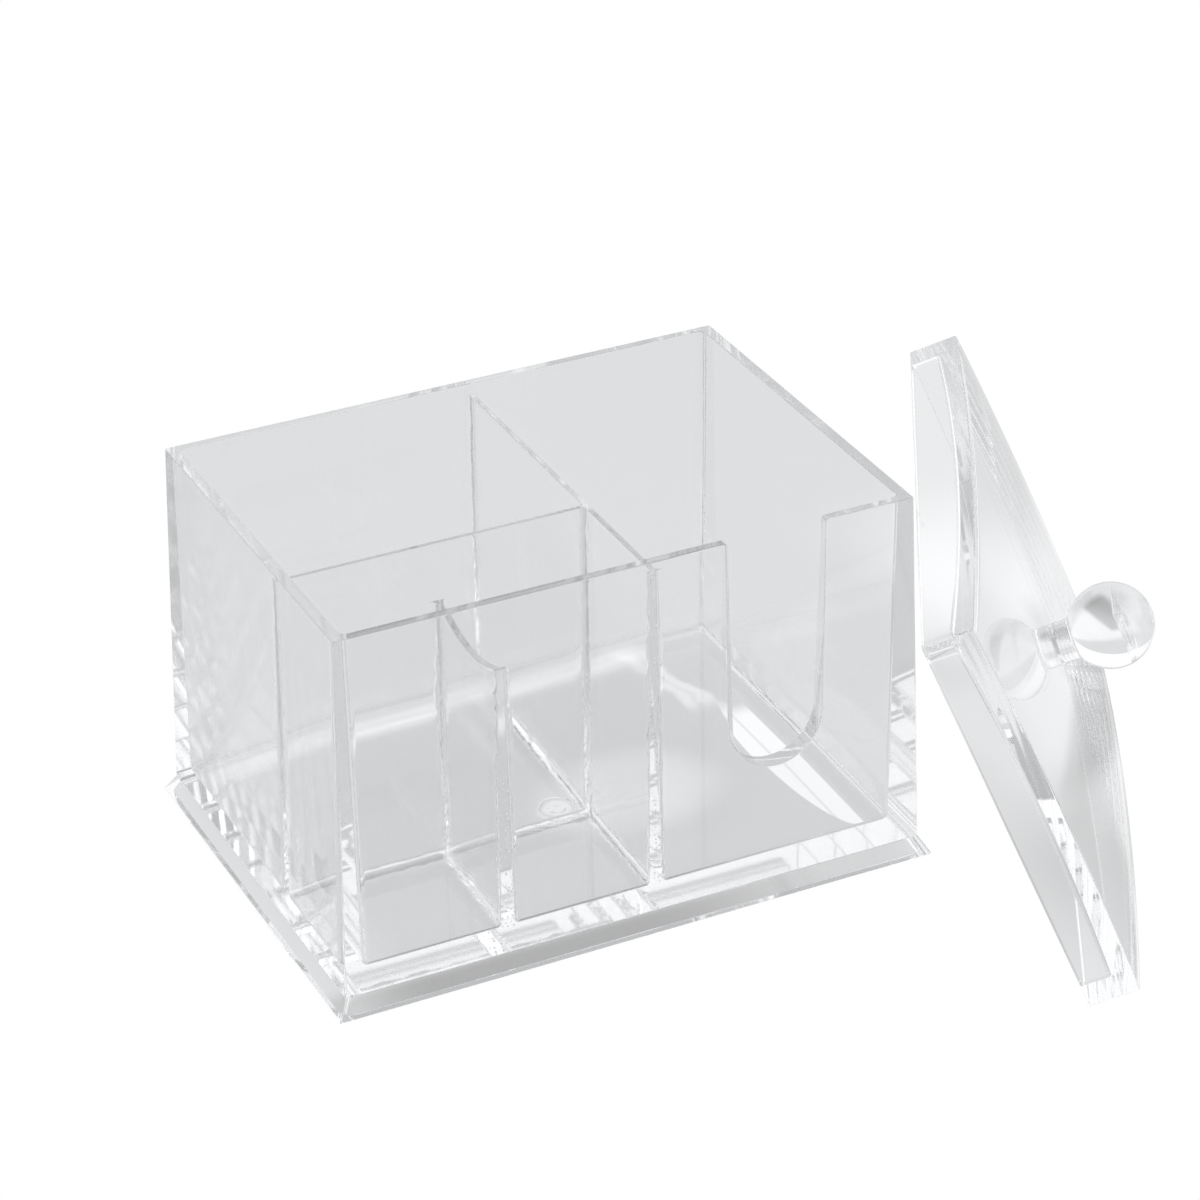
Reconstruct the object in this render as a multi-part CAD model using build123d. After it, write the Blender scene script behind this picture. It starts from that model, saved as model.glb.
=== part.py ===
from build123d import *
import os
from math import acos, cos, radians, sin

# Clear cotton pad holder: an open box on a bevelled plinth, parted into four
# bays, and its domed lid with a ball knob, which leans on the box's corner.
# Millimetres. X runs along the box, Y to its back and Z up. The origin is on
# the table, under the middle of the box.

# Plinth: a bevelled skirt round a recessed underside
bevel_height = 4.8
bevel_run = 2.6
plinth_land = 1.7
skirt_thickness = 2.3
recess_depth = 4.0
recess_corner_radius = 1.8
recess_fillet_radius = 0.6

# Box: its outside spreads towards the foot, its inside narrows to the floor
rim_length = 150.0
rim_width = 106.0
foot_spread_ends = 2.4
foot_spread_faces = 2.6
wall_height = 93.3
end_wall_rim = 3.0
face_wall_rim = 2.5
inner_draft = 1.0
floor_thickness = 3.0
bay_corner_radius = 1.8
floor_fillet_radius = 1.4

# Dividers: each is thicker at its foot than at its top
divider_drop = 3.1
pad_bay_length = 64.9
front_bay_width = 34.4
long_divider_top = 1.4
long_divider_foot = 3.4
cross_divider_top = 1.2
cross_divider_foot = 3.0
short_divider_top = 1.6
short_divider_foot = 3.4
short_divider_height = 72.3
scoop_depth = 5.3

# Finger slot in the front wall of the pad bay
slot_shift = -1.5
slot_rim_width = 26.2
slot_round_radius = 12.1
slot_bottom_above_floor = 27.0

# Lid, measured up from the plane of its rim
lid_corner_height = 12.6
lid_dome_rise = 3.2
lid_wall = 4.0
lid_hollow_depth = 7.4
lid_ceiling_rise = 4.9
lid_hollow_radius = 2.0

# Knob: a ball on a short neck
knob_ball_radius = 10.7
knob_neck_length = 3.5
knob_neck_radius = 5.3
knob_neck_blend = 1.4

# How the lid leans: one long rim edge stands on the table
lid_lean = 23.5
lid_heading = 28.9
lid_contact_from_end = 66.7
lid_corner_gap = 0.3
lid_table_gap = 0.1

# Heights above the table
plinth_height = bevel_height + plinth_land
rim_height = plinth_height + wall_height
floor_height = plinth_height + floor_thickness
divider_top_height = rim_height - divider_drop
short_divider_top_height = floor_height + short_divider_height
slot_bottom_height = floor_height + slot_bottom_above_floor

# Plan sizes
foot_length = rim_length + 2 * foot_spread_ends
foot_width = rim_width + 2 * foot_spread_faces
plinth_length = foot_length + 2 * bevel_run
plinth_width = foot_width + 2 * bevel_run
bay_rim_length = rim_length - 2 * end_wall_rim
bay_rim_width = rim_width - 2 * face_wall_rim
over = 10.0

# Where the dividers stand
long_divider_x = bay_rim_length / 2 - pad_bay_length - long_divider_top / 2
cross_divider_y = front_bay_width + cross_divider_top / 2 - bay_rim_width / 2
short_divider_x = (long_divider_x - long_divider_top / 2 - bay_rim_length / 2) / 2


def blend(low_value, high_value, low, high, height):
    """Value at a height, on the straight line between two heights."""
    return low_value + (high_value - low_value) * (height - low) / (high - low)


def outer_size(height):
    """Length and width of the box outside its walls, at a height."""
    length = blend(foot_length, rim_length, plinth_height, rim_height, height)
    width = blend(foot_width, rim_width, plinth_height, rim_height, height)
    return length, width


def inner_size(height):
    """Length and width of the box between its walls, at a height."""
    narrower = 2 * inner_draft
    length = blend(bay_rim_length - narrower, bay_rim_length, floor_height, rim_height, height)
    width = blend(bay_rim_width - narrower, bay_rim_width, floor_height, rim_height, height)
    return length, width


def dome_radius(length, width, rise):
    """Radius of the sphere that rises this much over a rectangle."""
    half_diagonal_squared = (length**2 + width**2) / 4
    return half_diagonal_squared / (2 * rise) + rise / 2


def domed_block(plan, bottom, corner_height, length, width, rise):
    """A plan raised to a domed top, of this height over the rectangle's corners."""
    radius = dome_radius(length, width, rise)
    top = corner_height + rise
    block = extrude(Pos(0, 0, bottom) * plan, top + over - bottom)
    return block & Pos(0, 0, top - radius) * Sphere(radius)


def build_bays():
    """The whole space inside the walls, from the floor to above the rim."""
    top = rim_height + over
    low_plan = RectangleRounded(*inner_size(floor_height), bay_corner_radius)
    high_plan = RectangleRounded(*inner_size(top), bay_corner_radius)
    space = loft([Pos(0, 0, floor_height) * low_plan, Pos(0, 0, top) * high_plan], ruled=True)
    floor_edges = space.faces().sort_by(Axis.Z)[0].edges()
    return fillet(floor_edges, floor_fillet_radius)


def build_slot_cut():
    """Finger slot: flared sides on a round bottom, cut through the front wall."""
    pad_bay_middle = (bay_rim_length - pad_bay_length) / 2
    round_height = slot_bottom_height + slot_round_radius
    top = rim_height + over
    top_half = blend(slot_round_radius, slot_rim_width / 2, round_height, rim_height, top)
    sides = Polygon(
        (-slot_round_radius, round_height),
        (slot_round_radius, round_height),
        (top_half, top),
        (-top_half, top),
        align=None,
    )
    profile = sides + Pos(0, round_height) * Circle(slot_round_radius)
    start = bay_rim_width / 2 - over
    cut = extrude(Plane.XZ.offset(start) * profile, foot_width / 2 + over - start)
    return Pos(pad_bay_middle + slot_shift, 0, 0) * cut


def build_box_shell(bays):
    """Four walls and the floor, moulded in one."""
    low_plan = Rectangle(foot_length, foot_width)
    high_plan = Rectangle(rim_length, rim_width)
    block = loft([Pos(0, 0, plinth_height) * low_plan, Pos(0, 0, rim_height) * high_plan], ruled=True)
    return block - bays - build_slot_cut()


def recess_size(height):
    """Length and width of the recess under the box, at a height."""
    inset = skirt_thickness + bevel_run * height / bevel_height
    return plinth_length - 2 * inset, plinth_width - 2 * inset


def build_recess():
    """The space under the box, inside its skirt."""
    low_plan = RectangleRounded(*recess_size(-over), recess_corner_radius)
    high_plan = RectangleRounded(*recess_size(recess_depth), recess_corner_radius)
    space = loft([Pos(0, 0, -over) * low_plan, Pos(0, 0, recess_depth) * high_plan], ruled=True)
    roof_edges = space.faces().sort_by(Axis.Z)[-1].edges()
    return fillet(roof_edges, recess_fillet_radius)


def build_base_plate():
    """Plinth under the box: a bevel below a short upright land, recessed from below."""
    low_plan = Rectangle(plinth_length, plinth_width)
    high_plan = Rectangle(foot_length, foot_width)
    bevel = loft([low_plan, Pos(0, 0, bevel_height) * high_plan], ruled=True)
    land = extrude(Pos(0, 0, bevel_height) * high_plan, plinth_land)
    return bevel + land - build_recess()


def divider_section(middle, foot, top, top_height):
    """Upright section of a divider, from the floor to its top."""
    return Polygon(
        (middle - foot / 2, floor_height),
        (middle + foot / 2, floor_height),
        (middle + top / 2, top_height),
        (middle - top / 2, top_height),
        align=None,
    )


def build_long_divider(bays):
    """Front to back: parts the pad bay from the other three."""
    section = divider_section(long_divider_x, long_divider_foot, long_divider_top, divider_top_height)
    slab = extrude(Plane.XZ.offset(-foot_width / 2) * section, foot_width)
    return slab & bays


def build_cross_divider(bays, long_divider):
    """From the left wall to the long divider."""
    section = divider_section(
        cross_divider_y, cross_divider_foot, cross_divider_top, divider_top_height
    )
    reach = foot_length / 2 + long_divider_x
    slab = extrude(Plane.YZ.offset(-foot_length / 2) * section, reach)
    return (slab & bays) - long_divider


def build_short_divider(bays, cross_divider):
    """From the front wall to the cross divider, with a scooped top."""
    top_height = short_divider_top_height
    section = divider_section(short_divider_x, short_divider_foot, short_divider_top, top_height)
    reach = foot_width / 2 + cross_divider_y
    slab = extrude(Plane.XZ.offset(-cross_divider_y) * section, reach)
    thickness_there = blend(
        cross_divider_foot, cross_divider_top, floor_height, divider_top_height, top_height
    )
    back = cross_divider_y - thickness_there / 2
    front = -inner_size(top_height)[1] / 2
    radius = dome_radius(back - front, 0, scoop_depth)
    scoop = Rot(0, 90, 0) * Cylinder(radius, foot_length)
    scoop_centre = Pos(0, (back + front) / 2, top_height - scoop_depth + radius)
    return (slab & bays) - cross_divider - scoop_centre * scoop


def build_lid_shape():
    """Outside of the lid, before it is hollowed, rim down on the XY plane."""
    plan = Rectangle(rim_length, rim_width)
    return domed_block(plan, 0, lid_corner_height, rim_length, rim_width, lid_dome_rise)


def build_lid(lid_shape):
    """Lid: an upright skirt under a shallow dome, hollow below."""
    hollow_length = rim_length - 2 * lid_wall
    hollow_width = rim_width - 2 * lid_wall
    plan = RectangleRounded(hollow_length, hollow_width, lid_hollow_radius)
    hollow = domed_block(
        plan, -over, lid_hollow_depth, hollow_length, hollow_width, lid_ceiling_rise
    )
    return lid_shape - hollow


def build_knob(lid_shape):
    """Knob: a ball blended into the neck it is glued on by."""
    lid_top = lid_corner_height + lid_dome_rise
    ball_height = lid_top + knob_neck_length + knob_ball_radius
    neck = Pos(0, 0, ball_height / 2) * Cylinder(knob_neck_radius, ball_height)
    knob = Pos(0, 0, ball_height) * Sphere(knob_ball_radius) + neck
    joint = knob.edges().filter_by(GeomType.CIRCLE).filter_by_position(Axis.Z, lid_top, ball_height)
    return fillet(joint, knob_neck_blend) - lid_shape


def lean_angle():
    """How far the lid leans back: enough that its upper edge stays below the box's rim."""
    highest_edge = rim_height - lid_table_gap
    return max(radians(lid_lean), acos(min(1, highest_edge / rim_width)))


def lid_place():
    """Where the lid's rim plane and middle lie as it leans on the front corner."""
    heading = radians(lid_heading)
    lean = lean_angle()
    along = Vector(sin(heading), cos(heading), 0)
    outward = Vector(cos(heading), -sin(heading), 0)
    upward = Vector(0, 0, cos(lean)) - outward * sin(lean)
    top_side = outward * cos(lean) + Vector(0, 0, sin(lean))
    touch_height = lid_table_gap + rim_width * cos(lean)
    length_there, width_there = outer_size(touch_height)
    corner = Vector(length_there / 2, -width_there / 2, touch_height)
    touch = corner + outward * lid_corner_gap
    middle = touch + along * (rim_length / 2 - lid_contact_from_end) - upward * (rim_width / 2)
    return Plane(origin=middle, x_dir=along, z_dir=top_side)


bays = build_bays()
long_divider = build_long_divider(bays)
cross_divider = build_cross_divider(bays, long_divider)
lid_shape = build_lid_shape()
place = lid_place()

pieces = {
    "base_plate": build_base_plate(),
    "box_shell": build_box_shell(bays),
    "long_divider": long_divider,
    "cross_divider": cross_divider,
    "short_divider": build_short_divider(bays, cross_divider),
    "lid": place * build_lid(lid_shape),
    "knob": place * build_knob(lid_shape),
}

os.makedirs("parts", exist_ok=True)
for name, piece in pieces.items():
    export_step(piece, f"parts/{name}.step")
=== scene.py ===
import random
from math import atan2, ceil, cos, pi, radians, sin, sqrt

import bmesh
import bpy
from mathutils import Matrix, Vector, noise


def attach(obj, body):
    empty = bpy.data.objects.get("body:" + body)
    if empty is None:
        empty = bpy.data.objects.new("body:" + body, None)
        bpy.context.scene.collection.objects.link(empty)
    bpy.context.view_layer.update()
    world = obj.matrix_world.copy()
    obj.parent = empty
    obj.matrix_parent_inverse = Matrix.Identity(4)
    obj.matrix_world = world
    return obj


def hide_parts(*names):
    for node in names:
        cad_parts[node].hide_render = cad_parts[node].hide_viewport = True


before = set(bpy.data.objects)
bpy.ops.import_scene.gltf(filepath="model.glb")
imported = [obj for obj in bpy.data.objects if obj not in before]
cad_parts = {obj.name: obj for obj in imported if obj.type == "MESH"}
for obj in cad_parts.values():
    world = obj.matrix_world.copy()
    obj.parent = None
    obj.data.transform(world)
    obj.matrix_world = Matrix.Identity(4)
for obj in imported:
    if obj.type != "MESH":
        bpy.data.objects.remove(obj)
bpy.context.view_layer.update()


# ---------------------------------------------------------------- box and plinth
# Clear acrylic box on a bevelled plinth: four walls that thicken towards the foot, a
# floor, and a skirt round a recessed underside. Moulded, polished and welded, so that
# it reads as one block of acrylic, with every edge just broken.

MM = 0.001
BEVEL_TOP = 4.8
PLINTH_TOP = 6.5
FLOOR_TOP = 9.5
RIM_TOP = 99.8
PLINTH_HALF = (80.0, 58.2)
FOOT_HALF = (77.4, 55.6)
RIM_HALF = (75.0, 53.0)
INNER_FLOOR_HALF = (71.0, 49.5)
INNER_RIM_HALF = (72.0, 50.5)
OUTER_CORNER = 0.5
BAY_CORNER = 1.8
FLOOR_FILLET = 1.4
BROKEN_EDGE = 0.28
SKIRT_THICKNESS = 2.3
RECESS_DEPTH = 4.0
RECESS_CORNER = 1.8
RECESS_FILLET = 0.6
GATE_PLACE = (0.3, -6.0)
# The round mark under the floor: radius and height over the recess's roof, inwards
GATE_GROOVE = (
    (4.7, -0.5), (4.7, -0.05), (4.5, 0.1), (4.1, 0.28), (3.4, 0.38), (2.7, 0.36), (2.2, 0.22),
    (1.9, 0.08), (1.5, -0.02), (1.0, 0.02), (0.5, 0.09), (0.02, 0.11),
)
BAY_FILLET_STEPS = 6
# Where the round of a cut or of cement stops, short of the face's own direction
ROUND_END = radians(80)
CUT_OVERRUN = 5.0

ACRYLIC_IOR = 1.49
CLEAN_TINT = (0.996, 0.998, 1.0, 1)
SMEARED_TINT = (0.975, 0.980, 0.985, 1)
DEPTH_TINT = (0.64, 0.66, 0.667, 1)
SMEAR_SCALE = 38
SMEAR_STOPS = ((0.56, 0), (0.80, 1))
SMEAR_BLUR = 0.012
HAIR_STRETCH = (900, 900, 60)
HAIR_STOPS = ((0.72, 0), (0.78, 1))
HAIR_BLUR = 0.02
WAVE_SCALE = 50
WAVE_HEIGHT = 0.00002
WAVE_STRENGTH = 0.2


def between(low_value, high_value, low, high, height):
    """Value at a height, on the straight line between two heights."""
    return low_value + (high_value - low_value) * (height - low) / (high - low)


def inner_half(height):
    """Half length and half width between the walls, at a height."""
    return [
        between(INNER_FLOOR_HALF[i], INNER_RIM_HALF[i], FLOOR_TOP, RIM_TOP, height) for i in (0, 1)
    ]


def recess_half(height):
    """Half length and half width of the recess inside the skirt, at a height."""
    return [
        between(PLINTH_HALF[i], FOOT_HALF[i], 0, BEVEL_TOP, height) - SKIRT_THICKNESS
        for i in (0, 1)
    ]


def outline(half_x, half_y, radius, corner_steps=8, side_steps=(1, 1)):
    """Points round a rectangle with round corners, starting at its right side."""
    arcs = []
    corners = ((1, 1, 0), (-1, 1, 90), (-1, -1, 180), (1, -1, 270))
    for sign_x, sign_y, start in corners:
        arc = []
        for step in range(corner_steps + 1):
            angle = radians(start + 90 * step / corner_steps)
            arc.append(Vector((
                sign_x * (half_x - radius) + radius * cos(angle),
                sign_y * (half_y - radius) + radius * sin(angle),
            )))
        arcs.append(arc)
    points = []
    for index, arc in enumerate(arcs):
        points += arc
        steps = side_steps[index % 2]
        start, end = arc[-1], arcs[(index + 1) % 4][0]
        points += [start.lerp(end, step / steps) for step in range(1, steps)]
    return points


def ring_at(height, half, radius):
    """An outline laid at one height."""
    return [(x, y, height) for x, y in outline(half[0], half[1], radius)]


def new_object(name, maker):
    """A mesh object from a bmesh in millimetres, brought into the frame's metres."""
    bmesh.ops.scale(maker, vec=(MM, MM, MM), verts=maker.verts)
    mesh = bpy.data.meshes.new(name)
    maker.to_mesh(mesh)
    maker.free()
    made = bpy.data.objects.new(name, mesh)
    bpy.context.scene.collection.objects.link(made)
    return made


def skin(name, rings, strip_top=False):
    """A closed solid through rings of the same number of points, from one end to the other.

    strip_top closes the last ring with a strip of quads, which suits a long narrow one."""
    maker = bmesh.new()
    rows = [[maker.verts.new(point) for point in ring] for ring in rings]
    count = len(rows[0])
    for low, high in zip(rows, rows[1:]):
        for i in range(count):
            j = (i + 1) % count
            maker.faces.new((low[i], low[j], high[j], high[i]))
    maker.faces.new(rows[0][::-1])
    if strip_top:
        top = rows[-1]
        for i in range(count // 2 - 1):
            maker.faces.new((top[i], top[i + 1], top[count - 2 - i], top[count - 1 - i]))
    else:
        maker.faces.new(rows[-1])
    bmesh.ops.recalc_face_normals(maker, faces=maker.faces)
    return new_object(name, maker)


def turned(name, profile, place, turns=72):
    """A solid turned about an upright axis, from (radius, height) pairs."""
    rings = []
    for radius, height in profile:
        angles = [2 * pi * turn / turns for turn in range(turns)]
        rings.append([
            (place[0] + radius * cos(angle), place[1] + radius * sin(angle), height)
            for angle in angles
        ])
    return skin(name, rings)


def edge_curve(radius, steps=4, overrun=0.2):
    """Distance from a face and flare beside it, along a round that ends at that face.

    It stops just short of the face's own direction and runs on through the face in a
    straight line, so that what is cut or welded there meets it cleanly."""
    pairs = []
    for step in range(steps + 1):
        angle = ROUND_END * step / steps
        pairs.append((radius * (1 - sin(angle)), radius * (1 - cos(angle))))
    distance, flare = pairs[-1]
    run = (distance + overrun) / cos(ROUND_END)
    pairs.append((-overrun, flare + run * sin(ROUND_END)))
    return pairs


def quarter_round(radius, steps=4):
    """How far in and how far down each point of a broken edge lies, from the side to the top."""
    angles = [radians(90 * step / steps) for step in range(steps + 1)]
    return [(radius * (1 - cos(angle)), radius * (1 - sin(angle))) for angle in angles]


def combine(target, tool, operation):
    """Weld a tool to a solid or cut it away, then drop the tool."""
    step = target.modifiers.new("joint", "BOOLEAN")
    step.operation = operation
    step.solver = "EXACT"
    step.object = tool
    depsgraph = bpy.context.evaluated_depsgraph_get()
    made = bpy.data.meshes.new_from_object(target.evaluated_get(depsgraph))
    target.modifiers.clear()
    old, target.data = target.data, made
    made.name = target.name
    bpy.data.meshes.remove(old)
    bpy.data.meshes.remove(tool.data)


class Value:
    """A shader socket that can be used in sums."""

    def __init__(self, tree, socket):
        self.tree, self.socket = tree, socket

    def _math(self, operation, first, second):
        return self.tree.node("ShaderNodeMath", {"operation": operation}, {0: first, 1: second})

    def __add__(self, other):
        return self._math("ADD", self, other)

    def __radd__(self, other):
        return self._math("ADD", other, self)

    def __sub__(self, other):
        return self._math("SUBTRACT", self, other)

    def __rsub__(self, other):
        return self._math("SUBTRACT", other, self)

    def __mul__(self, other):
        return self._math("MULTIPLY", self, other)

    def __rmul__(self, other):
        return self._math("MULTIPLY", other, self)


class Finish:
    """The nodes of a material or of the studio; node() adds any node and gives an output."""

    def __init__(self, owner):
        self.owner = owner
        owner.use_nodes = True
        self.nodes, self.links = owner.node_tree.nodes, owner.node_tree.links
        self.nodes.clear()

    def node(self, kind, settings=None, sockets=None, output=0):
        made = self.nodes.new(kind)
        for name, value in (settings or {}).items():
            if name == "stops":
                stops = made.color_ramp.elements
                while len(stops) < len(value):
                    stops.new(1.0)
                for stop, (place, shade) in zip(stops, value):
                    stop.position, stop.color = place, (shade, shade, shade, 1)
            else:
                setattr(made, name, value)
        for name, value in (sockets or {}).items():
            if isinstance(value, Value):
                self.links.new(value.socket, made.inputs[name])
            else:
                made.inputs[name].default_value = value
        return Value(self, made.outputs[output]) if len(made.outputs) else None

    def ramp(self, value, *stops):
        """A value sent through a ramp of (place, shade) stops."""
        return self.node("ShaderNodeValToRGB", {"stops": stops}, {"Fac": value})


def clear_acrylic(name, seed, density, blur):
    """Water-white polished acrylic with faint smears, hairline scratches and flow waves.

    density sets how much a long way through the acrylic greys what is seen through it,
    and blur how softly it is seen."""
    tree = Finish(bpy.data.materials.new(name))
    place = tree.node("ShaderNodeTexCoord", output=3)
    place = tree.node(
        "ShaderNodeVectorMath", {"operation": "ADD"}, {0: place, 1: (seed, seed * 0.37, 0)}
    )
    wiped = tree.node(
        "ShaderNodeTexNoise",
        {},
        {"Vector": place, "Scale": SMEAR_SCALE, "Detail": 4, "Roughness": 0.6},
    )
    smears = tree.ramp(wiped, *SMEAR_STOPS)
    drawn_out = tree.node(
        "ShaderNodeVectorMath", {"operation": "MULTIPLY"}, {0: place, 1: HAIR_STRETCH}
    )
    scratched = tree.node("ShaderNodeTexNoise", {}, {"Vector": drawn_out, "Scale": 1, "Detail": 1})
    hairs = tree.ramp(scratched, *HAIR_STOPS)
    waves = tree.node("ShaderNodeTexNoise", {}, {"Vector": place, "Scale": WAVE_SCALE, "Detail": 1})
    normal = tree.node(
        "ShaderNodeBump",
        {},
        {"Strength": WAVE_STRENGTH, "Distance": WAVE_HEIGHT, "Height": waves},
    )
    tint = tree.node(
        "ShaderNodeMix",
        {"data_type": "RGBA"},
        {0: smears, 6: CLEAN_TINT, 7: SMEARED_TINT},
        output=2,
    )
    polish = tree.node(
        "ShaderNodeBsdfPrincipled",
        {},
        {
            "Base Color": tint,
            "Roughness": blur + smears * SMEAR_BLUR + hairs * HAIR_BLUR,
            "Normal": normal,
            "IOR": ACRYLIC_IOR,
            "Transmission Weight": 1.0,
        },
    )
    depth_tint = tree.node(
        "ShaderNodeVolumeAbsorption", {}, {"Color": DEPTH_TINT, "Density": density}
    )
    tree.node("ShaderNodeOutputMaterial", {}, {"Surface": polish, "Volume": depth_tint})
    return tree.owner


outside = []
for inset, height in quarter_round(BROKEN_EDGE)[::-1]:
    outside.append(ring_at(height, [value - inset for value in PLINTH_HALF], OUTER_CORNER))
outside.append(ring_at(BEVEL_TOP, FOOT_HALF, OUTER_CORNER))
outside.append(ring_at(PLINTH_TOP, FOOT_HALF, OUTER_CORNER))
for inset, drop in quarter_round(BROKEN_EDGE):
    outside.append(ring_at(RIM_TOP - drop, [value - inset for value in RIM_HALF], OUTER_CORNER))
box = skin("clear_box", outside)

bays = []
for step in range(BAY_FILLET_STEPS + 1):
    angle = radians(90 * step / BAY_FILLET_STEPS)
    height = FLOOR_TOP + FLOOR_FILLET * (1 - cos(angle))
    inset = FLOOR_FILLET * (1 - sin(angle))
    size = [value - inset for value in inner_half(height)]
    bays.append(ring_at(height, size, BAY_CORNER - inset))
for distance, flare in edge_curve(BROKEN_EDGE):
    size = [value + flare for value in INNER_RIM_HALF]
    bays.append(ring_at(RIM_TOP - distance, size, BAY_CORNER + flare))
bays.append(ring_at(RIM_TOP + CUT_OVERRUN, size, BAY_CORNER + flare))
combine(box, skin("bays", bays), "DIFFERENCE")

recess = [ring_at(-1, recess_half(-1), RECESS_CORNER)]
for inset, drop in quarter_round(RECESS_FILLET):
    height = RECESS_DEPTH - drop
    size = [value - inset for value in recess_half(height)]
    recess.append(ring_at(height, size, RECESS_CORNER - inset))
combine(box, skin("recess", recess), "DIFFERENCE")

gate_profile = [(radius, RECESS_DEPTH + depth) for radius, depth in GATE_GROOVE]
combine(box, turned("gate_mark", gate_profile, GATE_PLACE), "DIFFERENCE")

box.data.materials.clear()
box.data.materials.append(clear_acrylic("box_acrylic", 0.0, density=4.2, blur=0.033))
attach(box, "box")
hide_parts("base_plate", "box_shell")

# ---------------------------------------------------------------- finger slot
# A U cut through the front wall of the pad bay, so that a finger and thumb can
# lift a pad out. Its sides open a little towards the rim and its edges are broken.

SLOT_MIDDLE = 38.05
SLOT_RADIUS = 12.1
SLOT_RIM_HALF = 13.1
SLOT_BOTTOM = 36.5
SLOT_MOUTH = 0.9
SLOT_ARC_STEPS = 24
SLOT_SIDE_STEPS = 12
MOUTH_STEPS = 6
SLOT_OVERRUN = 0.03


def outer_half(height):
    """Half length and half width outside the walls, at a height."""
    return [between(FOOT_HALF[i], RIM_HALF[i], PLINTH_TOP, RIM_TOP, height) for i in (0, 1)]


def slot_line():
    """Points of the U with the way out of it at each, from the left mouth to the right."""
    centre_height = SLOT_BOTTOM + SLOT_RADIUS
    right = []
    for step in range(SLOT_ARC_STEPS + 1):
        angle = radians(-90 + 90 * step / SLOT_ARC_STEPS)
        way = (cos(angle), sin(angle))
        right.append((SLOT_RADIUS * way[0], centre_height + SLOT_RADIUS * way[1], way))
    lean = atan2(SLOT_RIM_HALF - SLOT_RADIUS, RIM_TOP - centre_height)
    way = (cos(lean), -sin(lean))
    for step in range(1, SLOT_SIDE_STEPS + 1):
        height = between(centre_height, RIM_TOP - SLOT_MOUTH, 0, SLOT_SIDE_STEPS, step)
        half = between(SLOT_RADIUS, SLOT_RIM_HALF, centre_height, RIM_TOP, height)
        right.append((half, height, way))
    start = right[-1][0]
    for step, (distance, flare) in enumerate(edge_curve(SLOT_MOUTH, steps=MOUTH_STEPS)):
        angle = ROUND_END * min(step, MOUTH_STEPS) / MOUTH_STEPS
        if step > 0:
            right.append((start + flare, RIM_TOP - distance, (cos(angle), -sin(angle))))
    right.append((right[-1][0], RIM_TOP + CUT_OVERRUN, (1, 0)))
    left = [(-x, z, (-way[0], way[1])) for x, z, way in right[:0:-1]]
    return left + right


slot_edge = edge_curve(BROKEN_EDGE, overrun=SLOT_OVERRUN)
through = [(-distance, flare, outer_half) for distance, flare in slot_edge[::-1]]
through += [(distance, flare, inner_half) for distance, flare in slot_edge]
slot_rings = []
for distance, flare, face in through:
    ring = []
    for x, z, way in slot_line():
        x, z = x + way[0] * flare, z + way[1] * flare
        ring.append((SLOT_MIDDLE + x, -face(z)[1] - distance, z))
    slot_rings.append(ring)
combine(box, skin("slot_cut", slot_rings), "DIFFERENCE")

# ---------------------------------------------------------------- dividers
# Three clear walls welded in after moulding: one from front to back, one from the
# left wall to it, and a low one with a scooped top between the two front bays. Each
# is thinner at its top, and a ragged fillet of cement rounds it into the box.

DIVIDER_TOP = 96.7
LONG_X = 6.4
CROSS_Y = -15.5
SHORT_X = -33.15
SHORT_TOP = 81.8
SCOOP_DEPTH = 5.3
LONG_HALF = (1.7, 0.7)
CROSS_HALF = (1.5, 0.6)
SHORT_HALF = (1.7, 0.8)
WELD_FILLET = 1.3
CROSS_DROP = 0.03
EDGE_STEPS = 3
# The cement's raggedness: its scale, how far apart the two sides lie in it, and its depth
FINE_RAG = (0.9, 7.3, 0.75)
COARSE_RAG = (0.25, 3.1, 0.5)
COARSE_SEED = 20


def long_half(height):
    """Half thickness of the front-to-back divider, at a height."""
    return between(*LONG_HALF, FLOOR_TOP, DIVIDER_TOP, height)


def cross_half(height):
    """Half thickness of the divider from the left wall, at a height."""
    return between(*CROSS_HALF, FLOOR_TOP, DIVIDER_TOP, height)


def short_half(height):
    """Half thickness of the low divider, at a height."""
    return between(*SHORT_HALF, FLOOR_TOP, SHORT_TOP, height)


def ragged(along, height, side, seed):
    """Share of the full fillet that the cement fills at a place: it ran out unevenly."""
    share = 1
    for (scale, apart, depth), start in ((FINE_RAG, seed), (COARSE_RAG, seed + COARSE_SEED)):
        spot = Vector((along * scale, height * scale, side * apart + start))
        share += depth * noise.noise(spot)
    return share


def along_at(ends, end, spot):
    """Where a column stands: so far from one end, or a share of the way between the welds."""
    low, high = ends
    if end == "low":
        return low + spot
    if end == "high":
        return high - spot
    return between(low + WELD_FILLET, high - WELD_FILLET, 0, 1, spot)


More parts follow.
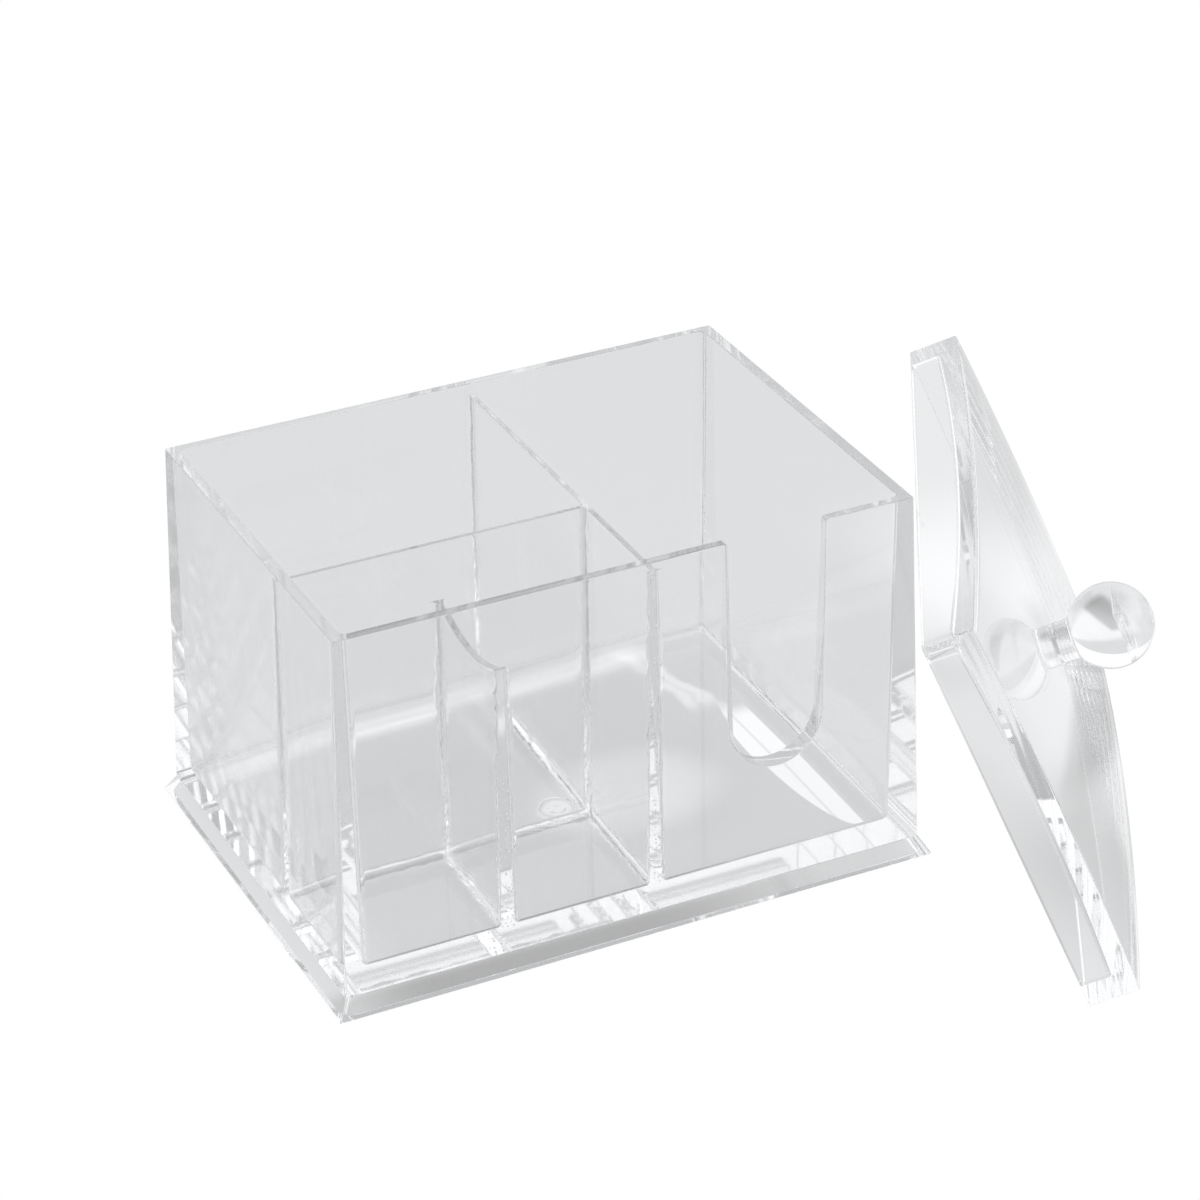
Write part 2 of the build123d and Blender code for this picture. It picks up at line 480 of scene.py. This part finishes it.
def welded_wall(name, half_at, ends_at, top_at, place, column_gap, row_gap, seed):
    """A divider between two ends, flared where cement holds it at its foot and its ends.

    half_at gives its half thickness at a height, ends_at its two ends at a height, top_at
    its top at a spot along it, and place turns along, side and height into a point."""
    columns = [("low", distance, flare) for distance, flare in edge_curve(WELD_FILLET)[::-1]]
    low, high = ends_at(FLOOR_TOP)
    count = ceil((high - low) / column_gap)
    columns += [("run", step / count, 0.0) for step in range(1, count)]
    columns += [("high", distance, flare) for distance, flare in edge_curve(WELD_FILLET)]
    levels = [("foot", distance, flare) for distance, flare in edge_curve(FLOOR_FILLET)[::-1]]
    count = ceil((top_at(low) - FLOOR_TOP) / row_gap)
    levels += [("side", step / count, 0.0) for step in range(1, count)]
    levels += [("edge", drop, -inset) for inset, drop in quarter_round(BROKEN_EDGE, EDGE_STEPS)]
    rings = []
    for kind, value, spread in levels:
        sides = {1: [], -1: []}
        for end, spot, swell in columns:
            top = top_at(along_at(ends_at(FLOOR_TOP), end, spot))
            height = {
                "foot": FLOOR_TOP + value,
                "side": between(FLOOR_TOP + FLOOR_FILLET, top - BROKEN_EDGE, 0, 1, value),
                "edge": top - value,
            }[kind]
            along = along_at(ends_at(height), end, spot)
            for side in (1, -1):
                cement = ragged(along, height, side, seed)
                half = half_at(height) + swell * cement
                half += spread * cement if kind == "foot" else spread
                sides[side].append(place(along, side * half, height))
        rings.append(sides[1] + sides[-1][::-1])
    return skin(name, rings, strip_top=True)


long_wall = welded_wall(
    "long_wall", long_half,
    ends_at=lambda height: (-inner_half(height)[1], inner_half(height)[1]),
    top_at=lambda along: DIVIDER_TOP,
    place=lambda along, side, height: (LONG_X + side, along, height),
    column_gap=1.0, row_gap=2.5, seed=1,
)
combine(box, long_wall, "UNION")

cross_wall = welded_wall(
    "cross_wall", cross_half,
    ends_at=lambda height: (-inner_half(height)[0], LONG_X - long_half(height)),
    top_at=lambda along: DIVIDER_TOP - CROSS_DROP,
    place=lambda along, side, height: (along, CROSS_Y + side, height),
    column_gap=2.0, row_gap=1.2, seed=2,
)
combine(box, cross_wall, "UNION")

scoop_front = -inner_half(SHORT_TOP)[1]
scoop_back = CROSS_Y - cross_half(SHORT_TOP)
scoop_half = (scoop_back - scoop_front) / 2
scoop_radius = scoop_half**2 / (2 * SCOOP_DEPTH) + SCOOP_DEPTH / 2


def scoop_line(along):
    """Height of the short divider's scooped top."""
    offset = along - (scoop_front + scoop_back) / 2
    return SHORT_TOP - SCOOP_DEPTH + scoop_radius - sqrt(scoop_radius**2 - offset**2)


short_wall = welded_wall(
    "short_wall", short_half,
    ends_at=lambda height: (-inner_half(height)[1], CROSS_Y - cross_half(height)),
    top_at=scoop_line,
    place=lambda along, side, height: (SHORT_X + side, along, height),
    column_gap=1.0, row_gap=1.5, seed=3,
)
combine(box, short_wall, "UNION")
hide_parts("long_divider", "cross_divider", "short_divider")

# ---------------------------------------------------------------- cement bubbles
# Fine bubbles that the cement caught along the dividers' feet and upright joints:
# small closed hollows in the acrylic, long ones lying along the joint.

BUBBLE_EDGE = 0.12
BUBBLE_SPREAD = 0.15
BUBBLE_GAP = 2.5
BUBBLE_STRETCH = (1.0, 2.4)
BUBBLE_FLATNESS = (0.7, 1.0)
SMALLEST_SHARE = 0.35
SHARP_ANGLE = radians(26)
SMALL_FACE = 0.00001
# How many, along which axis, the box they lie in and the largest size, for each joint
BUBBLE_ROWS = (
    (90, 1, (LONG_X + 1.0, -48, 8.5), (LONG_X + 2.4, 30, 8.85), 0.40),
    (80, 1, (SHORT_X - 1.8, -48, 8.5), (SHORT_X + 1.8, -18, 8.85), 0.42),
    (16, 0, (-68, CROSS_Y - 1.6, 8.6), (4, CROSS_Y + 1.6, 8.9), 0.22),
    (70, 2, (LONG_X - 2.2, CROSS_Y - 0.5, 11), (LONG_X - 0.9, CROSS_Y + 0.5, 50), 0.40),
    (46, 2, (LONG_X - 0.5, -50.4, 12), (LONG_X + 0.5, -49.9, 93), 0.26),
    (16, 2, (LONG_X - 0.4, -51.0, 93), (LONG_X + 0.4, -50.6, 96), 0.34),
    (34, 2, (SHORT_X - 0.6, -50.3, 12), (SHORT_X + 0.6, -49.8, 50), 0.30),
    (26, 2, (SHORT_X - 0.5, CROSS_Y - 1.2, 12), (SHORT_X + 0.5, CROSS_Y - 0.6, 40), 0.30),
)
luck = random.Random(11)


def bubble(maker, place, size, way):
    """One hollow: a small ball, stretched along the joint."""
    stretch = luck.uniform(*BUBBLE_STRETCH)
    made = bmesh.ops.create_icosphere(maker, subdivisions=2, radius=1.0)
    scale = [
        size * (stretch if axis == way else luck.uniform(*BUBBLE_FLATNESS)) for axis in (0, 1, 2)
    ]
    bmesh.ops.scale(maker, vec=scale, verts=made["verts"])
    bmesh.ops.translate(maker, vec=place, verts=made["verts"])
    return place, max(scale)


def bubble_row(maker, taken, count, way, low, high, spread, largest):
    """Bubbles scattered in a thin box along a joint, none of them touching another."""
    for _ in range(count):
        size = largest * luck.uniform(SMALLEST_SHARE, 1.0)
        place = Vector([luck.uniform(low[i], high[i]) for i in (0, 1, 2)])
        place += Vector([0 if i == way else luck.gauss(0, spread) for i in (0, 1, 2)])
        place = Vector([
            min(max(place[i], low[i] - BUBBLE_EDGE), high[i] + BUBBLE_EDGE) for i in (0, 1, 2)
        ])
        if all((place - other).length > BUBBLE_GAP * size + reach for other, reach in taken):
            taken.append(bubble(maker, place, size, way))


def smooth_piece(piece, large_faces_rule=False):
    """Smooth shading that keeps sharp corners sharp.

    With large_faces_rule, a round takes the large flat face's direction where it meets
    one, and that face stays dead flat."""
    mesh = piece.data
    mesh.polygons.foreach_set("use_smooth", [True] * len(mesh.polygons))
    mesh.set_sharp_from_angle(angle=SHARP_ANGLE)
    weighted = piece.modifiers.new("flat_faces", "WEIGHTED_NORMAL")
    weighted.mode = "FACE_AREA"
    weighted.keep_sharp = True
    if large_faces_rule:
        weighted.weight = 100
        weighted.thresh = SMALL_FACE


maker = bmesh.new()
taken = []
for count, way, low, high, largest in BUBBLE_ROWS:
    bubble_row(maker, taken, count, way, low, high, BUBBLE_SPREAD, largest)
# A hollow's faces look into it, out of the acrylic
bmesh.ops.recalc_face_normals(maker, faces=maker.faces)
bmesh.ops.reverse_faces(maker, faces=maker.faces)
bubbles = new_object("bubbles", maker)
joined = bmesh.new()
joined.from_mesh(box.data)
joined.from_mesh(bubbles.data)
joined.to_mesh(box.data)
joined.free()
bpy.data.meshes.remove(bubbles.data)
smooth_piece(box, large_faces_rule=True)

# ---------------------------------------------------------------- lid
# The lid: an upright skirt under a shallow dome, hollow below, in the same clear
# acrylic. It stands on one long rim edge and leans on the box's front corner.

LID_HALF = (75.0, 53.0)
LID_CORNER_HEIGHT = 12.6
LID_DOME_RISE = 3.2
LID_WALL = 4.0
LID_HOLLOW = 7.4
LID_CEILING_RISE = 4.9
LID_HOLLOW_CORNER = 2.0
LID_CEILING_FILLET = 1.2
LID_RIM_EDGE = 0.3
LID_TOP_EDGE = 0.4
LID_LEAN = radians(23.5)
LID_HEADING = radians(28.9)
LID_CONTACT = 66.7
LID_CORNER_GAP = 0.3
LID_TABLE_GAP = 0.1
RIM_EDGE_STEPS = 3
CEILING_STEPS = 5
LID_CORNER_STEPS = 6
LID_SIDE_STEPS = (44, 32)
DOME_STEPS = 20
# First ring and step between rings of the two domes, in degrees from the middle
CEILING_RINGS = (1, 4.4)
TOP_RINGS = (85, -4.2)
HOLLOW_CORNER_SHRINK = 0.7
CEILING_CORNER_SHRINK = 0.5


def dome(corner_height, half, swell):
    """The height of a dome over the rim plane, as a function of place."""
    radius = (half[0] ** 2 + half[1] ** 2) / (2 * swell) + swell / 2
    return lambda x, y: corner_height + swell - radius + sqrt(radius**2 - x**2 - y**2)


def lid_ring(half, radius, height, drop=0.0):
    """A ring round the lid, at one height or so far under a dome."""
    points = outline(half[0], half[1], radius, LID_CORNER_STEPS, LID_SIDE_STEPS)
    return [(x, y, height(x, y) - drop if callable(height) else height) for x, y in points]


lid_top = dome(LID_CORNER_HEIGHT, LID_HALF, LID_DOME_RISE)
hollow_half = [value - LID_WALL for value in LID_HALF]
lid_ceiling = dome(LID_HOLLOW, hollow_half, LID_CEILING_RISE)
lid_rings = []
for step in range(DOME_STEPS):
    share = sin(radians(CEILING_RINGS[0] + CEILING_RINGS[1] * step))
    size = [value * share for value in hollow_half]
    radius = LID_HOLLOW_CORNER * share * HOLLOW_CORNER_SHRINK
    lid_rings.append(lid_ring(size, radius, lid_ceiling))
for inset, drop in quarter_round(LID_CEILING_FILLET, CEILING_STEPS)[::-1]:
    size = [value - inset for value in hollow_half]
    radius = LID_HOLLOW_CORNER - inset * CEILING_CORNER_SHRINK
    lid_rings.append(lid_ring(size, radius, lid_ceiling, drop))
for spread, height in quarter_round(LID_RIM_EDGE, RIM_EDGE_STEPS):
    size = [value + spread for value in hollow_half]
    lid_rings.append(lid_ring(size, LID_HOLLOW_CORNER + spread, height))
for inset, height in quarter_round(LID_RIM_EDGE, RIM_EDGE_STEPS)[::-1]:
    size = [value - inset for value in LID_HALF]
    lid_rings.append(lid_ring(size, OUTER_CORNER, height))
for inset, drop in quarter_round(LID_TOP_EDGE):
    size = [value - inset for value in LID_HALF]
    lid_rings.append(lid_ring(size, OUTER_CORNER, lid_top, drop))
for step in range(DOME_STEPS):
    share = sin(radians(TOP_RINGS[0] + TOP_RINGS[1] * step))
    size = [value * share for value in LID_HALF]
    lid_rings.append(lid_ring(size, OUTER_CORNER * share, lid_top))
lid = skin("clear_lid", lid_rings)

# ---------------------------------------------------------------- knob
# The ball by which the lid is lifted: turned from clear acrylic, polished, on a
# short neck that swells into the lid where it is cemented on.

BALL_RADIUS = 10.7
NECK_RADIUS = 5.3
NECK_LENGTH = 3.5
NECK_BLEND = 1.4
NECK_ROOT = 1.5
BALL_TIP = 0.02
BLEND_STEPS = 8
BALL_STEPS = 48

lid_peak = LID_CORNER_HEIGHT + LID_DOME_RISE
ball_height = lid_peak + NECK_LENGTH + BALL_RADIUS
blend_reach = NECK_RADIUS + NECK_BLEND
blend_height = ball_height - sqrt((BALL_RADIUS + NECK_BLEND) ** 2 - blend_reach**2)
touch = atan2(ball_height - blend_height, blend_reach)
knob_profile = [(NECK_RADIUS, lid_peak - NECK_ROOT)]
for step in range(BLEND_STEPS + 1):
    angle = pi - touch * step / BLEND_STEPS
    knob_profile.append(
        (blend_reach + NECK_BLEND * cos(angle), blend_height + NECK_BLEND * sin(angle))
    )
for step in range(1, BALL_STEPS):
    angle = -touch + (pi / 2 + touch) * step / BALL_STEPS
    knob_profile.append((BALL_RADIUS * cos(angle), ball_height + BALL_RADIUS * sin(angle)))
knob_profile.append((BALL_TIP, ball_height + BALL_RADIUS))
combine(lid, turned("ball_knob", knob_profile, (0, 0), turns=96), "UNION")

along = Vector((sin(LID_HEADING), cos(LID_HEADING), 0))
outward = Vector((cos(LID_HEADING), -sin(LID_HEADING), 0))
upward = Vector((0, 0, cos(LID_LEAN))) - outward * sin(LID_LEAN)
top_side = outward * cos(LID_LEAN) + Vector((0, 0, sin(LID_LEAN)))
touch_height = LID_TABLE_GAP + 2 * LID_HALF[1] * cos(LID_LEAN)
half_there = outer_half(touch_height)
touch_point = Vector((half_there[0], -half_there[1], touch_height)) + outward * LID_CORNER_GAP
middle = touch_point + along * (LID_HALF[0] - LID_CONTACT) - upward * LID_HALF[1]
turn = Matrix((along, upward, top_side)).transposed().to_4x4()
lid.data.transform(Matrix.Translation(middle * MM) @ turn)

smooth_piece(lid)
lid.data.materials.clear()
lid.data.materials.append(clear_acrylic("lid_acrylic", 3.0, density=1.5, blur=0.024))
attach(lid, "lid")
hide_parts("lid", "knob")

# ---------------------------------------------------------------- table, light, camera
# A white table that glows, and a white studio round it. The table is white to the camera; to the
# acrylic it glows greyer, with painted soft shadows and painted light where its walls gather light
# on it. The sky is brightest low down behind the box and at the front right, as from softboxes.

TABLE_HALF = 6000
TABLE_DROP = 0.2
TABLE_SHADE = 0.75
TABLE_TINT = (1.0, 1.004, 1.012)
FAR = 10.0

# Soft rectangles on the table, in metres: how much lighter each is, then where it starts
# and ends and how soft its edges are, along X and along Y.
SOFT_PATCHES = (
    # shadow under the box, along its front foot and in front of it
    (-0.15, (-0.068, 0.080, 0.014), (-0.070, 0.056, 0.014)),
    (-0.26, (-0.084, 0.030, 0.030), (-0.066, -0.048, 0.004)),
    (-0.28, (-0.150, 0.060, 0.020), (-FAR, -0.0915, 0.0135)),
    # shadow to the right of the lid, under it and behind its ball
    (-0.18, (0.1615, FAR, 0.0135), (-FAR, -0.0425, 0.0175)),
    (-0.15, (0.100, 0.160, 0.018), (-FAR, -0.0635, 0.0215)),
    (-0.36, (0.153, 0.190, 0.006), (-0.045, 0.038, 0.010)),
    # light that gathers beside the lid's foot and in two streaks behind the dividers
    (0.06, (0.115, 0.160, 0.008), (-0.044, 0.010, 0.010)),
    (0.09, (0.0010, 0.0040, 0.0012), (0.024, 0.050, 0.006)),
    (0.09, (-0.0055, -0.0030, 0.0012), (0.018, 0.045, 0.006)),
)
# Soft ovals of painted light on the table: how much lighter, the middle, one over the half width
# each way, and the squared share of it where the edge starts and ends.
SOFT_OVALS = (
    # painted pools of light under the gate mark, and under the floor of the pad bay
    (0.16, (0.0021, -0.0016), (190.0, 260.0), 0.4, 1.3),
    (0.16, (0.022, -0.003), (34.0, 50.0), 0.1, 1.1),
)
# Painted light on the table where light falls through the finger slot, with a painted darker line
# in it
SLOT_LIGHT = 0.36
SLOT_OVAL = ((0.070, -0.002), (95.0, 25.6), 0.95, 1.05)
SLOT_LIGHT_ENDS = ((0.0695, 0.0700), (0.017, 0.025))
SLOT_SHADE_LINE = (0.0640, 0.0646, 0.0004)
SLOT_SHADE_DEPTH = 0.6
# A painted band of streaky light on the table along the back wall's foot
BACK_LIGHT = 0.28
BACK_LIGHT_AREA = ((-0.066, 0.050, 0.004), (0.0475, 0.0545, 0.0025))
BACK_LINE_STRETCH = (25.0, 700.0)
BACK_LINE_CONTRAST = (1.6, 0.2)
# A painted fold of light on the table near the right wall, with a painted darker line along it
FOLD_LIGHT = 0.22
FOLD_AREA = ((0.0620, 0.0700, 0.0014), (0.024, 0.054, 0.004))
FOLD_SLANT = 0.3
FOLD_WAVE_SCALE = 75.0
FOLD_WAVE = 0.012
FOLD_SHADE_LINE = (0.0650, 0.0658, 0.0006)
FOLD_SHADE_DEPTH = 0.5
# Painted light on the table far to the right of the box
FAR_RIGHT_LIGHT = 0.19
FAR_RIGHT_SLANT = 0.8
FAR_RIGHT_ENDS = ((0.13, 0.19), (0.115, 0.155), (0.06, 0.12))

SKY_BASE = ((0.0, 1.05), (0.35, 1.03), (0.56, 1.0), (0.72, 0.66), (0.86, 0.56), (1.0, 0.55))
SKY_BEHIND = ((0.08, 0.0), (0.20, 0.15), (0.58, 0.15), (0.70, 0.0))
SKY_BEHIND_WAY = (0.26, 0.966, 0)
SKY_BEHIND_EDGE = (0.1, 0.5)
SKY_KEY = ((0.10, 0.0), (0.30, 0.70), (0.66, 0.70), (0.80, 0.0))
SKY_KEY_WAY = (0.42, -0.91, 0)
SKY_KEY_EDGE = (0.45, 0.75)
SKY_TINT = (1.0, 1.0, 1.01)

CAMERA_PLACE = (-0.36072, -0.78707, 0.55778)
CAMERA_AZIMUTH = radians(-25.64374)
CAMERA_ELEVATION = radians(29.69523)
CAMERA_ROLL = radians(-0.80417)
SENSOR_WIDTH = 36
LENS_PER_PICTURE_WIDTH = 4057.4086 / 1200
BOUNCES = 64

maker = bmesh.new()
for x, y in ((-1, -1), (1, -1), (1, 1), (-1, 1)):
    maker.verts.new((x * TABLE_HALF, y * TABLE_HALF, -TABLE_DROP))
maker.faces.new(maker.verts)
table = new_object("pale_table", maker)


def soft_step(tree, value, start, end):
    """0 before start, 1 after end and smooth between, for a value in a shader."""
    return tree.node(
        "ShaderNodeMapRange", {"interpolation_type": "SMOOTHSTEP"}, {0: value, 1: start, 2: end}
    )


def soft_strip(tree, value, low, high, soft):
    """1 from low to high, with soft ends."""
    return soft_step(tree, value, low - soft, low + soft) * (
        1 - soft_step(tree, value, high - soft, high + soft)
    )


def soft_oval(tree, x, y, middle, shrink, inner, outer):
    """1 inside an oval, with a soft edge."""
    across, along = (x - middle[0]) * shrink[0], (y - middle[1]) * shrink[1]
    return 1 - soft_step(tree, across * across + along * along, inner, outer)


def camera_white(tree, shade, tint):
    """White to the camera, and this shade to all that is seen through or in the acrylic."""
    grey = tree.node("ShaderNodeCombineXYZ", {}, {i: shade * tint[i] for i in (0, 1, 2)})
    by_camera = tree.node("ShaderNodeLightPath")
    return tree.node(
        "ShaderNodeMix", {"data_type": "RGBA"}, {0: by_camera, 6: grey, 7: (1, 1, 1, 1)}, output=2
    )


tree = Finish(bpy.data.materials.new("pale_table"))
spot = tree.node("ShaderNodeNewGeometry")
x, y = [tree.node("ShaderNodeSeparateXYZ", {}, {0: spot}, output=i) for i in (0, 1)]
# Painted shadows and painted pools of light in the table's glow, as the acrylic sees it
shade = TABLE_SHADE
for lighter, along_x, along_y in SOFT_PATCHES:
    shade = shade + soft_strip(tree, x, *along_x) * soft_strip(tree, y, *along_y) * lighter
for lighter, *oval in SOFT_OVALS:
    shade = shade + soft_oval(tree, x, y, *oval) * lighter

# Painted light through the finger slot, with a painted darker line in it
slot_light = soft_oval(tree, x, y, *SLOT_OVAL)
slot_light = slot_light * (1 - soft_strip(tree, x, *SLOT_SHADE_LINE) * SLOT_SHADE_DEPTH)
for value, ends in zip((x, y), SLOT_LIGHT_ENDS):
    slot_light = slot_light * (1 - soft_step(tree, value, *ends))

# Painted streaky light along the back wall's foot
stretched = tree.node(
    "ShaderNodeCombineXYZ", {}, {0: x * BACK_LINE_STRETCH[0], 1: y * BACK_LINE_STRETCH[1]}
)
lines = tree.node("ShaderNodeTexNoise", {}, {"Vector": stretched, "Scale": 1.0, "Detail": 2})
back_light = lines * BACK_LINE_CONTRAST[0] + BACK_LINE_CONTRAST[1]
for value, area in zip((x, y), BACK_LIGHT_AREA):
    back_light = back_light * soft_strip(tree, value, *area)

# Painted fold of light near the right wall, with a painted darker line in it
wavy = tree.node(
    "ShaderNodeTexNoise", {}, {"Vector": spot, "Scale": FOLD_WAVE_SCALE, "Detail": 2}
)
folded = x + y * FOLD_SLANT + (wavy - 0.5) * FOLD_WAVE
light_fold = 1 - soft_strip(tree, folded, *FOLD_SHADE_LINE) * FOLD_SHADE_DEPTH
for value, area in zip((folded, y), FOLD_AREA):
    light_fold = light_fold * soft_strip(tree, value, *area)

# Painted light on the table far to the right
slanted, upright, behind = FAR_RIGHT_ENDS
far_right = soft_step(tree, x + y * FAR_RIGHT_SLANT, *slanted) * soft_step(tree, x, *upright)
far_right = far_right * (1 - soft_step(tree, y, *behind))
shade = shade + slot_light * SLOT_LIGHT + back_light * BACK_LIGHT
shade = shade + light_fold * FOLD_LIGHT + far_right * FAR_RIGHT_LIGHT
seen = camera_white(tree, shade, TABLE_TINT)
glow = tree.node("ShaderNodeEmission", {}, {"Color": seen, "Strength": 1.0})
tree.node("ShaderNodeOutputMaterial", {}, {"Surface": glow})
table.data.materials.append(tree.owner)

studio = bpy.data.worlds.new("studio")
bpy.context.scene.world = studio
tree = Finish(studio)
way = tree.node("ShaderNodeTexCoord")
height = tree.node("ShaderNodeSeparateXYZ", {}, {0: way}, output=2)
behind, key = [
    tree.node("ShaderNodeVectorMath", {"operation": "DOT_PRODUCT"}, {0: way, 1: toward}, output=1)
    for toward in (SKY_BEHIND_WAY, SKY_KEY_WAY)
]
sky = tree.ramp(height, *SKY_BASE)
sky = sky + tree.ramp(height, *SKY_BEHIND) * soft_step(tree, behind, *SKY_BEHIND_EDGE)
sky = sky + tree.ramp(height, *SKY_KEY) * soft_step(tree, key, *SKY_KEY_EDGE)
glow = tree.node("ShaderNodeBackground", {}, {"Color": camera_white(tree, sky, SKY_TINT)})
tree.node("ShaderNodeOutputWorld", {}, {"Surface": glow})

back = Vector((
    sin(CAMERA_AZIMUTH) * cos(CAMERA_ELEVATION),
    -cos(CAMERA_AZIMUTH) * cos(CAMERA_ELEVATION),
    sin(CAMERA_ELEVATION),
))
right = Vector((cos(CAMERA_AZIMUTH), sin(CAMERA_AZIMUTH), 0))
up = back.cross(right)
tilted_right = cos(CAMERA_ROLL) * right + sin(CAMERA_ROLL) * up
tilted_up = -sin(CAMERA_ROLL) * right + cos(CAMERA_ROLL) * up
camera_data = bpy.data.cameras.new("photo_camera")
camera_data.sensor_width = SENSOR_WIDTH
camera_data.lens = LENS_PER_PICTURE_WIDTH * SENSOR_WIDTH
camera = bpy.data.objects.new("photo_camera", camera_data)
bpy.context.scene.collection.objects.link(camera)
turn = Matrix((tilted_right, tilted_up, back)).transposed().to_4x4()
camera.matrix_world = Matrix.Translation(CAMERA_PLACE) @ turn

scene = bpy.context.scene
scene.camera = camera
scene.view_settings.view_transform = "Standard"
scene.cycles.max_bounces = BOUNCES
scene.cycles.transmission_bounces = BOUNCES
scene.cycles.glossy_bounces = BOUNCES
